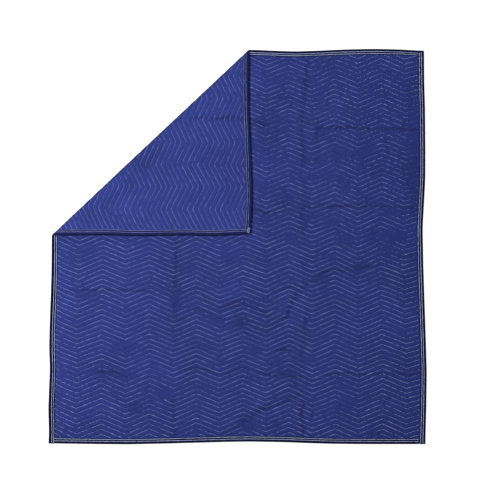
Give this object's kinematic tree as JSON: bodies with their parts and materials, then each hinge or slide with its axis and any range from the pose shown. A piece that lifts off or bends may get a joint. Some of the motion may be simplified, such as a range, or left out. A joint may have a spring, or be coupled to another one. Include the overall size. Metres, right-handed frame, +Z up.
{
  "type": "moving blanket",
  "caption": "Quilted moving blanket lying flat with one corner folded over onto its face, chevron quilting and taped edges.",
  "frame": {"origin": "on the surface the blanket lies on, under the middle of its outline", "axes": "+Z up out of the face, +Y towards the blanket's top edge, +X towards its right edge; the top left corner is the one folded over"},
  "size_m": [1.845, 2.047, 0.0134],
  "materials": {
    "face_cloth": "matt royal blue woven cloth, quilted",
    "back_cloth": "matt royal blue woven cloth, quilted",
    "edge_tape": "near-black woven binding tape, matt"
  },
  "bodies": {
    "root": {"face_panel": "face_cloth", "back_panel": "back_cloth", "binding_left": "edge_tape", "binding_top": "edge_tape", "binding_right": "edge_tape", "binding_bottom": "edge_tape"}
  },
  "joints": []
}
